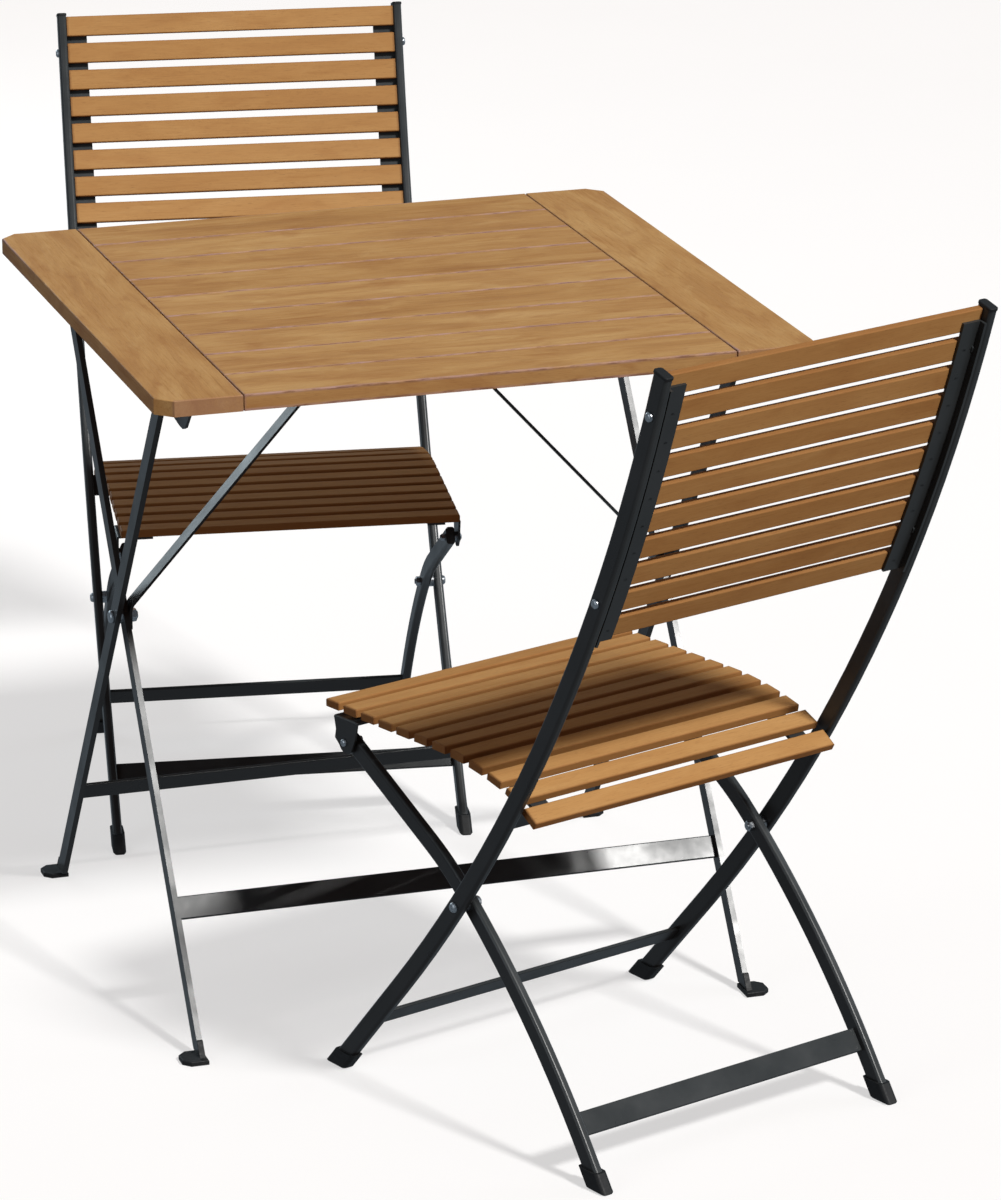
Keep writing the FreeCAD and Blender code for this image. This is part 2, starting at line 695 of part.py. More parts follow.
def chair_pivot_bolts():
    outer = MAIN_X + MAIN_WIDTH / 2
    inner = REAR_X - REAR_WIDTH / 2 - FACE_GAP
    pieces = cross_bolt(CHAIR_PIVOT, CHAIR_BOLT_RADIUS, outer, inner, 5.5, 4.0, 5.0)
    ring_start = REAR_X + REAR_WIDTH / 2 + FACE_GAP
    pieces.append(ring(CHAIR_PIVOT, ring_start, MAIN_X - MAIN_WIDTH / 2, 7.0, CHAIR_BOLT_RADIUS))
    shapes = []
    for piece in pieces:
        shapes.extend(pair(piece))
    return group(shapes)


# --- chair back ------------------------------------------------------------------------------
def back_slat_place(number):
    return main_from_top(FIRST_BACK_SLAT + BACK_PITCH * number)


def back_angle():
    """The right-hand steel angle: one side on the main tube, the other behind the slats' ends."""
    tube_face = MAIN_X - MAIN_WIDTH / 2
    inner = tube_face - ANGLE_FLANGE
    side = tube_face - ANGLE_THICK
    rear = -ANGLE_SIDE
    back = -ANGLE_THICK
    points = ((tube_face, rear), (tube_face, 0), (inner, 0), (inner, back), (side, back), (side, rear))
    section = Part.makePolygon([vec(x, y, 0) for x, y in points + points[:1]])
    bottom = FIRST_BACK_SLAT + BACK_PITCH * (BACK_SLATS - 1) + BACK_SLAT_HEIGHT / 2
    length = bottom - FIRST_BACK_SLAT
    y, z, heading = main_from_top(bottom)
    bend = MAIN_RUNS[1][1] / MAIN_RUNS[1][0] * length
    shape = swept((y, z), heading, ((length, bend),), section)
    for distance in BACK_BOLTS_AT:
        shape = bore(shape, main_from_top(distance)[:2], CHAIR_BOLT_RADIUS + BOLT_CLEARANCE, side - 5, 400)
    return shape


def back_slat(number):
    """A straight slat in front of the angles' flanges."""
    reach = MAIN_X - MAIN_WIDTH / 2 - BACK_SLAT_END_GAP
    half = BACK_SLAT_HEIGHT / 2
    gap = BACK_SLAT_STANDS_OFF
    slat = box(-reach, -half, gap, reach, half, gap + BACK_SLAT_THICK)
    lengthwise = edges_where(slat, lambda e: e.BoundBox.XLength > 1)
    return at_place(slat.makeFillet(1.5, lengthwise), back_slat_place(number))


def back_screws():
    """One screw into each end of each slat, its head let into the flange."""
    x = MAIN_X - MAIN_WIDTH / 2 - ANGLE_FLANGE / 2 - 3
    shapes = []
    for number in range(BACK_SLATS):
        offset = -3.0 if number == 0 else 0.0
        piece = screw(ANGLE_THICK + 3.0)
        piece.translate(vec(x, offset, SCREW_HEAD_THICK - ANGLE_THICK))
        shapes.extend(pair(at_place(piece, back_slat_place(number))))
    return shapes


def back_bolts():
    outer = MAIN_X + MAIN_WIDTH / 2
    inner = MAIN_X - MAIN_WIDTH / 2 - ANGLE_THICK
    shapes = []
    for distance in BACK_BOLTS_AT:
        place = main_from_top(distance)[:2]
        for piece in cross_bolt(place, CHAIR_BOLT_RADIUS, outer, inner, 5.0, 3.5, 3.0):
            shapes.extend(pair(piece))
    return shapes


# --- chair seat ------------------------------------------------------------------------------
def seat_place(distance):
    """A place on the line where the slats lie on the rails, measured from the front edge."""
    return along(SEAT_START, SEAT_HEADING, SEAT_RUNS, distance)


def seat_slat_at(number):
    """Distance of a slat's middle from the front edge."""
    return SEAT_SLAT_WIDTH / 2 + SEAT_PITCH * number


def seat_slat(number):
    half = SEAT_SLAT_WIDTH / 2
    slat = box(-SEAT_HALF, -half, 0, SEAT_HALF, half, SEAT_SLAT_THICK)
    upper = edges_where(slat, lambda e: is_level(e, SEAT_SLAT_THICK))
    slat = slat.makeFillet(1.8, upper)
    return at_place(slat, seat_place(seat_slat_at(number)))


def seat_rail():
    """The right-hand flat steel rail, bent down at the rear like the seat."""
    half = RAIL_WIDTH / 2
    points = ((-half, 0), (half, 0), (half, -RAIL_THICK), (-half, -RAIL_THICK))
    section = Part.makePolygon([vec(x, y, 0) for x, y in points + points[:1]])
    lead = 4.0
    y, z, heading = seat_place(lead)
    runs = ((SEAT_RUNS[0][0] - lead, 0.0),) + SEAT_RUNS[1:]
    rail = swept((y, z), heading, runs, section)
    rail.translate(vec(RAIL_X, 0, 0))
    return rail


def seat_screws():
    """One screw up through each rail into each slat."""
    shapes = []
    for number in range(SEAT_SLATS):
        piece = screw(RAIL_THICK + 6)
        piece.translate(vec(RAIL_X, 0, -RAIL_THICK))
        shapes.extend(pair(at_place(piece, seat_place(seat_slat_at(number)))))
    return shapes


def in_seat(y, z):
    """A point given beside the seat pivot, level with the seat, as (y, z)."""
    way = math.radians(SEAT_HEADING)
    across = y * math.cos(way) - z * math.sin(way)
    upwards = y * math.sin(way) + z * math.cos(way)
    return (SEAT_PIVOT[0] + across, SEAT_PIVOT[1] + upwards)


def pivot_depth():
    """How far the seat pivot lies under the rails' upper face."""
    way = math.radians(SEAT_HEADING)
    y = SEAT_START[0] - SEAT_PIVOT[0]
    z = SEAT_START[1] - SEAT_PIVOT[1]
    return z * math.cos(way) - y * math.sin(way)


def ear_face():
    """The outer face of the bracket's ear."""
    return REAR_X + REAR_WIDTH / 2 + EAR_GAP + SHEET


def seat_bracket():
    """The right-hand bracket: a flange under the rail and an ear down to the seat pivot."""
    outer = ear_face()
    top = pivot_depth() - RAIL_THICK
    names = {
        "front top": in_seat(-17.5, top),
        "front waist": in_seat(-14.5, 11.5),
        "front bulge": in_seat(-16.5, 2),
        "front chin": in_seat(-9, -4.5),
        "bottom": in_seat(1, -11.5),
        "rear chin": in_seat(11, -8),
        "rear side": in_seat(18, 6),
        "rear top": in_seat(22.5, top),
    }
    point = {name: vec(0, y, z) for name, (y, z) in names.items()}
    outline = [Part.Arc(point["front chin"], point["bottom"], point["rear chin"]).toShape()]
    round_trip = ("rear chin", "rear side", "rear top", "front top", "front waist", "front bulge",
                  "front chin")
    for first, second in zip(round_trip[:-1], round_trip[1:]):
        outline.append(Part.LineSegment(point[first], point[second]).toShape())
    ear = slab(outline, outer - SHEET, outer)
    under = top - SHEET
    corners = (in_seat(-17.5, top), in_seat(22.5, top), in_seat(22.5, under), in_seat(-17.5, under))
    flange = slab(polygon_edges(corners), RAIL_X - RAIL_WIDTH / 2, outer)
    shape = ear.fuse(flange).removeSplitter()
    high = max(names["front top"][1], names["rear top"][1])
    bend = edges_where(shape, lambda e: e.BoundBox.XMin > outer - 0.01 and e.BoundBox.ZMin > high - 2.5
                       and e.BoundBox.YLength > 20)
    shape = shape.makeFillet(SHEET - 0.3, bend)
    return bore(shape, SEAT_PIVOT, CHAIR_BOLT_RADIUS, 0, 400)


def seat_bolts():
    inner = REAR_X - REAR_WIDTH / 2 - FACE_GAP
    pieces = cross_bolt(SEAT_PIVOT, CHAIR_BOLT_RADIUS, ear_face(), inner, 4.2, 3.5, 4.0)
    leg_face = REAR_X + REAR_WIDTH / 2
    pieces.append(ring(SEAT_PIVOT, leg_face + FACE_GAP, leg_face + EAR_GAP, 6.0, CHAIR_BOLT_RADIUS))
    shapes = []
    for piece in pieces:
        shapes.extend(pair(piece))
    return shapes


# --- the three items -------------------------------------------------------------------------
def table_parts():
    screws = bracket_screws()
    for x in strap_positions():
        screws.extend(strap_screws(x))
    fasteners = group(screws)
    board_right = end_board().cut(fasteners)
    stud, rivet_head = brace_stud()
    brace_right = brace_bar()
    hinge = hinge_plate().cut(fasteners)
    catch = catch_plate().cut(fasteners)
    parts = {
        "table_end_board_right": board_right,
        "table_end_board_left": mirrored(board_right),
        "table_slats": table_slats(fasteners),
        "table_strap_left": strap(-STRAP_OFFSET, fasteners),
        "table_strap_centre": strap(0.0, fasteners).cut(brace_slot()),
        "table_strap_right": strap(STRAP_OFFSET, fasteners),
        "table_hinge_plates": group(pair(hinge)),
        "table_catch_plates": group(pair(catch)),
        "table_top_screws": fasteners,
        "table_brace_right": brace_right,
        "table_brace_left": mirrored(brace_right),
        "table_brace_stud": group([stud, rivet_head]),
        "table_pivot_bolts": table_pivot_bolts(),
    }
    for frame, x, rearwards in (("outer", OUTER_LEG_X, False), ("inner", INNER_LEG_X, True)):
        leg = table_leg(x, rearwards)
        parts["table_" + frame + "_leg_right"] = leg
        parts["table_" + frame + "_leg_left"] = mirrored(leg)
        parts["table_" + frame + "_crossbar"] = table_crossbar(x, rearwards)
        parts["table_" + frame + "_top_rod"] = top_rod(x, rearwards)
        parts["table_" + frame + "_feet"] = group(pair(table_foot(x, rearwards)))
    return parts


def chair_parts():
    tube = main_tube()
    leg = rear_leg()
    back_fixings = group(back_bolts() + back_screws())
    seat_fixings = group(seat_bolts() + seat_screws())
    angles = group([piece.cut(back_fixings) for piece in pair(back_angle())])
    back = group([back_slat(number).cut(back_fixings) for number in range(BACK_SLATS)])
    rails = group([piece.cut(seat_fixings) for piece in pair(seat_rail())])
    seat = group([seat_slat(number).cut(seat_fixings) for number in range(SEAT_SLATS)])
    return {
        "main_tube_right": tube,
        "main_tube_left": mirrored(tube),
        "tube_caps": group(pair(tube_cap())),
        "front_foot_caps": group(pair(front_foot_cap())),
        "front_crossbar": chair_crossbar(MAIN_X - MAIN_WIDTH / 2, main_place(FRONT_BAR_AT)),
        "seat_rest_bar": chair_crossbar(MAIN_X - MAIN_WIDTH / 2, main_place(REST_BAR_AT)),
        "back_angles": angles,
        "back_slats": back,
        "back_fixings": back_fixings,
        "rear_leg_right": leg,
        "rear_leg_left": mirrored(leg),
        "rear_crossbar": chair_crossbar(REAR_X - REAR_WIDTH / 2, rear_place(REAR_BAR_AT)),
        "rear_foot_caps": group(pair(rear_foot_cap())),
        "pivot_bolts": chair_pivot_bolts(),
        "seat_rails": rails,
        "seat_slats": seat,
        "seat_brackets": group([piece.cut(seat_fixings) for piece in pair(seat_bracket())]),
        "seat_fixings": seat_fixings,
    }


def in_set(shape, place):
    """Stands an item's piece in its place in the set."""
    x, y, turn = place
    moved = shape.copy()
    moved.rotate(vec(0, 0, 0), vec(0, 0, 1), turn)
    moved.translate(vec(x, y, 0))
    return moved


def whole_set():
    parts = {}
    for name, shape in table_parts().items():
        parts[name] = in_set(shape, TABLE_PLACE)
    chair = chair_parts()
    for prefix, place in (("front_chair_", FRONT_CHAIR_PLACE), ("rear_chair_", REAR_CHAIR_PLACE)):
        for name, shape in chair.items():
            parts[prefix + name] = in_set(shape, place)
    return parts


def main():
    for name, shape in whole_set().items():
        if not shape.isValid():
            print("not valid:", name)
        shape.exportStep("parts/" + name + ".step")


main()
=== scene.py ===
"""Patio dining set: a square folding table and two folding chairs, slatted hardwood on dark steel."""

import json
import math
import random

import bmesh
import bpy
import numpy as np
from mathutils import Matrix, Vector


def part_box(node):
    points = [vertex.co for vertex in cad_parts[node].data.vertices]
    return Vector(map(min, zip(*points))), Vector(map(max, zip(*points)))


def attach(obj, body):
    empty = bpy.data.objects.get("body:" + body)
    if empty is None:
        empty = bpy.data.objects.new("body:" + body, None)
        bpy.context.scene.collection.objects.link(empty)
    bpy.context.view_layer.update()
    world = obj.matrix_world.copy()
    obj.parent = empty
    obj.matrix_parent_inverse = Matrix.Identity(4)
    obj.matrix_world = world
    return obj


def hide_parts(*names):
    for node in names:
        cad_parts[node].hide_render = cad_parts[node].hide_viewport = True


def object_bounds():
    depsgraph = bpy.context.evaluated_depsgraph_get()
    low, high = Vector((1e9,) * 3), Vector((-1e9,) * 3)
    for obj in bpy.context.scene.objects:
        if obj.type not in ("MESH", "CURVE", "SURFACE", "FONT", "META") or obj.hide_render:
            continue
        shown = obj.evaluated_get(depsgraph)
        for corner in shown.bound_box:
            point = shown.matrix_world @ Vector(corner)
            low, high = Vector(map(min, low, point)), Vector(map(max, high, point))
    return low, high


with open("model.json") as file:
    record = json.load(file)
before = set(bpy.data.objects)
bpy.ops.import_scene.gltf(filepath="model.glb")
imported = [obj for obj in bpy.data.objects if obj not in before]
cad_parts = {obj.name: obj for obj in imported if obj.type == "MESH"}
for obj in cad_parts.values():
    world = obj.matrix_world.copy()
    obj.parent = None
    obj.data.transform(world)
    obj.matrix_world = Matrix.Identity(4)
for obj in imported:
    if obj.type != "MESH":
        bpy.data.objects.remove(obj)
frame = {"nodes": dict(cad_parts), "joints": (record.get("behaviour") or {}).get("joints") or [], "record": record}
cad_low, cad_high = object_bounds()

# All lengths are in metres.

# Which material a node gets: by the ending of its name, or else coated steel.
WOODEN = {                 # wood, rebuilt with rounded edges: ending -> width of the rounding
    "table_end_board_left": 0.0012,
    "table_end_board_right": 0.0012,
    "table_slats": 0.0012,
    "back_slats": 0.0006,
    "seat_slats": 0.0008,
}
PLASTIC_ENDINGS = ("caps", "feet")
ZINC_ENDINGS = ("bolts", "fixings", "screws", "stud")
SCREW_REACH = 0.200        # the back screws and nuts lie nearer to a chair's middle than this

# Rebuilding the boards.
WELD_DISTANCE = 2e-6
FLAT_ANGLE = math.radians(1.0)       # faces that meet at less than this are one flat face
SHARP_ANGLE = math.radians(35.0)     # edges sharper than this are rounded
ROUNDING_SEGMENTS = 2
TONE_SEED = 7

# The floor: its depth under the lowest foot, and its rings as (radius, rise).
FLOOR_BELOW = 0.0005
FLOOR_RINGS = ((40.0, 0.0), (46.0, 1.0), (50.0, 4.0), (52.0, 9.0), (52.5, 16.0))
FLOOR_STEPS = 64
FLOOR_GLOW = 0.58

# The light: directions point towards it, and angles in degrees are how wide it looks.
KEY_DIRECTION = (0.33, -0.62, 0.72)
KEY_STRENGTH = 3.75
KEY_ANGLE = 8.0
KEY_COLOUR = (1.0, 0.985, 0.965)
FILL_STRENGTH = 0.44
FILL_ANGLE = 170.0
FILL_COLOUR = (1.0, 0.54, 0.34)
FAR_LIGHT_DISTANCE = 6.0   # only says where the far lights stand, because their strength is even
SKY_COLOUR = (0.72, 0.87, 1.0, 1.0)
SKY_STRENGTH = 0.27
SOFT_BOXES = (             # name, place from the set's middle, size, power, colour
    ("left_box", (-3.4, -1.6, 1.2), (1.6, 2.8), 24.0, (0.84, 0.92, 1.0)),
    ("back_box", (-1.323, 3.801, 1.155), (2.6, 1.2), 34.0, (0.80, 0.93, 1.0)),
    ("right_box", (3.2, 0.2, 1.4), (1.4, 2.6), 20.0, (0.85, 0.93, 1.0)),
)

# The camera: its place from the floor under the middle of the table top, and its directions.
CAMERA_PLACE = (-1.65892, -5.53411, 2.27657)
CAMERA_FORWARD = (0.290616, 0.904741, -0.311427)
CAMERA_RIGHT = (0.951967, -0.306199, -0.001201)
CAMERA_SENSOR = 36.0       # millimetres
CAMERA_LENS = 168.19       # millimetres
CAMERA_CLIP = (0.1, 200.0)


# --- materials ---------------------------------------------------------------------------------
class Graph:
    """A material's node tree, with one short method for each kind of node used."""

    def __init__(self, name):
        self.material = bpy.data.materials.new(name)
        self.material.use_nodes = True
        self.tree = self.material.node_tree
        self.shader = self.tree.nodes["Principled BSDF"]

    def make(self, kind, **settings):
        node = self.tree.nodes.new(kind)
        for key, value in settings.items():
            setattr(node, key, value)
        return node

    def put(self, socket, value):
        """Sets a socket to a number, a colour or another node's output."""
        if isinstance(value, bpy.types.NodeSocket):
            self.tree.links.new(value, socket)
        else:
            socket.default_value = value

    def position(self):
        return self.make("ShaderNodeTexCoord").outputs["Object"]

    def normal(self):
        return self.make("ShaderNodeNewGeometry").outputs["Normal"]

    def attribute(self, name, output="Vector"):
        return self.make("ShaderNodeAttribute", attribute_name=name).outputs[output]

    def vector(self, operation, first, second=None, scale=None):
        node = self.make("ShaderNodeVectorMath", operation=operation)
        self.put(node.inputs[0], first)
        if second is not None:
            self.put(node.inputs[1], second)
        if scale is not None:
            self.put(node.inputs["Scale"], scale)
        return node.outputs["Vector"]

    def number(self, operation, first, second):
        node = self.make("ShaderNodeMath", operation=operation)
        self.put(node.inputs[0], first)
        self.put(node.inputs[1], second)
        return node.outputs[0]

    def split(self, vector):
        node = self.make("ShaderNodeSeparateXYZ")
        self.put(node.inputs[0], vector)
        return node.outputs[0], node.outputs[1], node.outputs[2]

    def noise(self, vector, scale, detail, roughness=0.5, distortion=0.0):
        node = self.make("ShaderNodeTexNoise")
        self.put(node.inputs["Vector"], vector)
        node.inputs["Scale"].default_value = scale
        node.inputs["Detail"].default_value = detail
        node.inputs["Roughness"].default_value = roughness
        node.inputs["Distortion"].default_value = distortion
        return node.outputs["Fac"]

    def stretched_noise(self, vector, cells, detail, roughness=0.5, distortion=0.0):
        """Noise with its own number of cells in a metre along each axis."""
        stretched = self.vector("MULTIPLY", vector, cells)
        return self.noise(stretched, 1.0, detail, roughness, distortion)

    def remap(self, value, low, high, out_low=0.0, out_high=1.0):
        node = self.make("ShaderNodeMapRange", interpolation_type="SMOOTHSTEP")
        self.put(node.inputs["Value"], value)
        node.inputs["From Min"].default_value = low
        node.inputs["From Max"].default_value = high
        node.inputs["To Min"].default_value = out_low
        node.inputs["To Max"].default_value = out_high
        return node.outputs["Result"]

    def colours(self, value, stops):
        """A colour ramp of (position, colour) stops."""
        node = self.make("ShaderNodeValToRGB")
        ramp = node.color_ramp
        while len(ramp.elements) < len(stops):
            ramp.elements.new(0.5)
        for element, (position, colour) in zip(ramp.elements, stops):
            element.position = position
            element.color = (*colour, 1.0)
        self.put(node.inputs["Fac"], value)
        return node.outputs["Color"]

    def mix(self, factor, first, second, blend="MIX"):
        node = self.make("ShaderNodeMix", data_type="RGBA", blend_type=blend)
        colour_sockets = [s for s in node.inputs if s.type == "RGBA"]
        self.put(node.inputs["Factor"], factor)
        for socket, value in zip(colour_sockets, (first, second)):
            self.put(socket, (*value, 1.0) if isinstance(value, tuple) else value)
        return [s for s in node.outputs if s.type == "RGBA"][0]

    def bump(self, height, strength, distance):
        node = self.make("ShaderNodeBump")
        node.inputs["Strength"].default_value = strength
        node.inputs["Distance"].default_value = distance
        self.put(node.inputs["Height"], height)
        return node.outputs["Normal"]

    def finish(self, **values):
        """Sets the shader's sockets, named with _ for spaces, and returns the material."""
        for name, value in values.items():
            self.put(self.shader.inputs[name.replace("_", " ")], value)
        return self.material


def oiled_wood(name, worn_edges):
    """Oiled hardwood. Each board carries its own grain coordinates, half sizes and a random tone.

    The table's boards have pale worn edges and painted shade in their seams. A chair's slats have
    painted shade along their long edges, and their figure is calmer.
    """
    g = Graph(name)
    grain = g.attribute("grain")
    tone = g.attribute("tone", "Fac")
    half_sizes = g.attribute("half_sizes")
    place = g.vector("ADD", grain, g.vector("SCALE", (3.1, 1.7, 2.3), scale=tone))

    figure = g.stretched_noise(place, (3.4, 17.0, 17.0), 4.0, 0.58, 1.6)
    clouds = g.stretched_noise(place, (11.0, 32.0, 32.0), 4.0, 0.62, 0.8)
    streaks = g.stretched_noise(place, (14.0, 300.0, 300.0), 4.0, 0.62, 0.4)
    fibres = g.stretched_noise(place, (40.0, 950.0, 950.0), 2.0)
    pores = g.stretched_noise(place, (110.0, 1700.0, 1700.0), 1.0)

    base = g.colours(figure, (
        (0.30, (0.345, 0.172, 0.055)),
        (0.44, (0.400, 0.208, 0.068)),
        (0.56, (0.440, 0.242, 0.083)),
        (0.72, (0.485, 0.282, 0.106)),
    ))
    contrast = 1.0 if worn_edges else 0.5
    base = g.mix(contrast, (0.415, 0.222, 0.075), base)
    # Layers over it: mask, where it starts and is full, how strong it gets, colour.
    for mask, start, full, strength, colour in (
        (clouds, 0.50, 0.72, 0.55 * contrast, (0.300, 0.128, 0.036)),
        (clouds, 0.46, 0.26, 0.45 * contrast, (0.520, 0.320, 0.125)),
        (streaks, 0.54, 0.76, 0.42 * contrast, (0.230, 0.098, 0.030)),
        (fibres, 0.40, 0.70, 0.16, (0.250, 0.115, 0.040)),
        (pores, 0.62, 0.78, 0.40, (0.130, 0.055, 0.020)),
    ):
        base = g.mix(g.remap(mask, start, full, 0.0, strength), base, colour)
    tint = g.colours(tone, (
        (0.0, (0.93, 0.90, 0.86)),
        (0.5, (1.0, 1.0, 1.0)),
        (1.0, (1.04, 1.06, 1.09)),
    ))
    base = g.mix(1.0, base, tint, "MULTIPLY")
    base = g.mix(1.0, base, (1.0, 1.06, 1.16) if worn_edges else (1.0, 1.0, 1.04), "MULTIPLY")

    # Distance from the ends, the long edges and the broad faces.
    inset = g.vector("SUBTRACT", half_sizes, g.vector("ABSOLUTE", grain))
    from_end, from_side, from_face = g.split(inset)
    ragged = g.stretched_noise(place, (45.0, 260.0, 260.0), 4.0, 0.65)
    if worn_edges:
        side = g.number("ADD", from_side, g.number("MULTIPLY", ragged, -0.0032))
        near_top = g.remap(from_face, 0.0008, 0.0036, 1.0, 0.0)
        patches = g.stretched_noise(place, (30.0, 30.0, 30.0), 3.0)
        patchy = g.remap(patches, 0.35, 0.65, 0.35, 1.0)
        worn = g.number("MULTIPLY", g.remap(side, -0.0006, 0.0020, 1.0, 0.0), near_top)
        base = g.mix(g.number("MULTIPLY", worn, patchy), base, (0.380, 0.240, 0.205))
        # Painted shade in the seams: a ragged darker line along each top edge, and darker side faces.
        at_edge = g.remap(from_side, 0.0004, 0.0013, 0.75, 0.0)
        line = g.number("MULTIPLY", at_edge, g.remap(ragged, 0.42, 0.60))
        base = g.mix(g.number("MULTIPLY", line, near_top), base, (0.120, 0.050, 0.028))
        base = g.mix(g.remap(from_side, 0.0001, 0.0009, 0.22, 0.0), base, (0.20, 0.085, 0.035))
    else:
        # Painted shade: the slats darken towards their long edges, standing in for the shade between slats.
        side = g.number("ADD", from_side, g.number("MULTIPLY", ragged, 0.0012))
        base = g.mix(g.remap(side, 0.0006, 0.0028, 0.58, 0.0), base, (0.215, 0.083, 0.022))
    end = g.number("ADD", from_end, g.number("MULTIPLY", ragged, -0.002))
    end_colour = (0.260, 0.140, 0.095) if worn_edges else (0.165, 0.070, 0.024)
    base = g.mix(g.remap(end, -0.0008, 0.0022, 0.60, 0.0), base, end_colour)

    height = g.number("ADD", g.number("MULTIPLY", streaks, -0.6), g.number("MULTIPLY", pores, -0.5))
    height = g.number("ADD", height, g.number("MULTIPLY", fibres, -0.35))
    return g.finish(
        Base_Color=base,
        Roughness=g.remap(streaks, 0.35, 0.75, 0.50, 0.68),
        Specular_IOR_Level=0.12,
        Normal=g.bump(height, 0.28 if worn_edges else 0.10, 0.0006),
    )


def coated_steel():
    """Satin anthracite powder coat: fine orange peel, soft cloudiness and a little settled dust."""
    g = Graph("coated_steel")
    place = g.position()
    peel = g.noise(place, 900.0, 2.0)
    ripple = g.noise(place, 120.0, 3.0, 0.55)
    clouds = g.noise(place, 14.0, 4.0, 0.6)
    specks = g.noise(place, 1500.0, 1.0)
    base = g.colours(clouds, (
        (0.30, (0.0230, 0.0270, 0.0290)),
        (0.70, (0.0310, 0.0355, 0.0380)),
    ))
    upward = g.split(g.normal())[2]
    settled = g.remap(upward, 0.25, 1.0, 0.0, 0.10)
    dust = g.number("MULTIPLY", settled, g.remap(clouds, 0.40, 0.70, 0.15, 1.0))
    base = g.mix(dust, base, (0.060, 0.060, 0.062))
    base = g.mix(g.remap(specks, 0.70, 0.80, 0.0, 0.5), base, (0.10, 0.10, 0.105))
    height = g.number("ADD", g.number("MULTIPLY", peel, 0.35), ripple)
    return g.finish(
        Base_Color=base,
        Roughness=g.remap(clouds, 0.30, 0.75, 0.27, 0.40),
        Specular_IOR_Level=0.32,
        Normal=g.bump(height, 0.07, 0.0005),
    )


def black_plastic():
    """Moulded plastic with a fine leathery surface, scuffed paler low down."""
    g = Graph("black_plastic")
    place = g.position()
    cells = g.noise(place, 1300.0, 3.0, 0.6)
    scuffs = g.noise(g.vector("MULTIPLY", place, (1.0, 1.0, 4.0)), 160.0, 4.0, 0.65)
    low = g.remap(g.split(place)[2], 0.0, 0.016, 1.0, 0.12)
    wear = g.number("MULTIPLY", g.remap(scuffs, 0.50, 0.72, 0.0, 0.6), low)
    base = g.mix(wear, (0.010, 0.011, 0.012), (0.040, 0.039, 0.037))
    return g.finish(
        Base_Color=base,
        Roughness=g.remap(scuffs, 0.30, 0.75, 0.48, 0.68),
        Specular_IOR_Level=0.25,
        Normal=g.bump(cells, 0.25, 0.0004),
    )


def zinc_steel():
    """Bright zinc plating on bolts, nuts and screws, a little mottled."""
    g = Graph("zinc_steel")
    place = g.position()
    mottle = g.noise(place, 420.0, 4.0, 0.6)
    scratches = g.stretched_noise(place, (300.0, 2400.0, 300.0), 1.0)
    base = g.colours(mottle, (
        (0.32, (0.280, 0.290, 0.305)),
        (0.68, (0.520, 0.535, 0.555)),
    ))
    return g.finish(
        Base_Color=base,
        Metallic=1.0,
        Roughness=g.remap(mottle, 0.30, 0.70, 0.22, 0.40),
        Normal=g.bump(scratches, 0.10, 0.0002),
    )


MATERIALS = {
    "table_wood": oiled_wood("table_wood", True),
    "chair_wood": oiled_wood("chair_wood", False),
    "coated_steel": coated_steel(),
    "black_plastic": black_plastic(),
    "zinc_steel": zinc_steel(),
}


# --- wood --------------------------------------------------------------------------------------
def place_in_scene(name, data):
    """A new object with this data, linked to the scene."""
    item = bpy.data.objects.new(name, data)
    bpy.context.scene.collection.objects.link(item)
    return item


def islands(mesh):
    """Lists of vertices, one list for each separate piece of a welded bmesh."""
    found = []
    seen = set()
    for start in mesh.verts:
        if start.index in seen:
            continue
        seen.add(start.index)
        piece = [start]
        for vertex in piece:
            for edge in vertex.link_edges:
                other = edge.other_vert(vertex)
                if other.index not in seen:
                    seen.add(other.index)
                    piece.append(other)
        found.append(piece)
    return found


def mostly_positive(direction):
    """The direction or its opposite, whichever has its largest component above zero."""
    largest = max(range(3), key=lambda i: abs(direction[i]))
    return -direction if direction[largest] < 0 else direction


def board_axes(vertices):
    """A straight board's axes (along, across, through), and in them its middle and half sizes."""
    points = np.array([v.co for v in vertices], float)
    faces = {face for vertex in vertices for face in vertex.link_faces}
    areas = {}
    for face in faces:
        key = tuple(round(abs(c), 2) for c in face.normal)
        total, direction = areas.get(key, (0.0, face.normal.copy()))
        areas[key] = (total + face.calc_area(), direction)
    through = max(areas.values(), key=lambda entry: entry[0])[1].normalized()
    spread = points - points.mean(0)
    flat = spread - np.outer(spread @ np.array(through), np.array(through))
    _, vectors = np.linalg.eigh(flat.T @ flat)
    along = mostly_positive(Vector(vectors[:, -1]).normalized())
    through = mostly_positive(through)
    across = through.cross(along).normalized()
    axes = np.array([along, across, through])
    local = points @ axes.T
    low, high = local.min(0), local.max(0)
    return axes, (low + high) / 2, (high - low) / 2


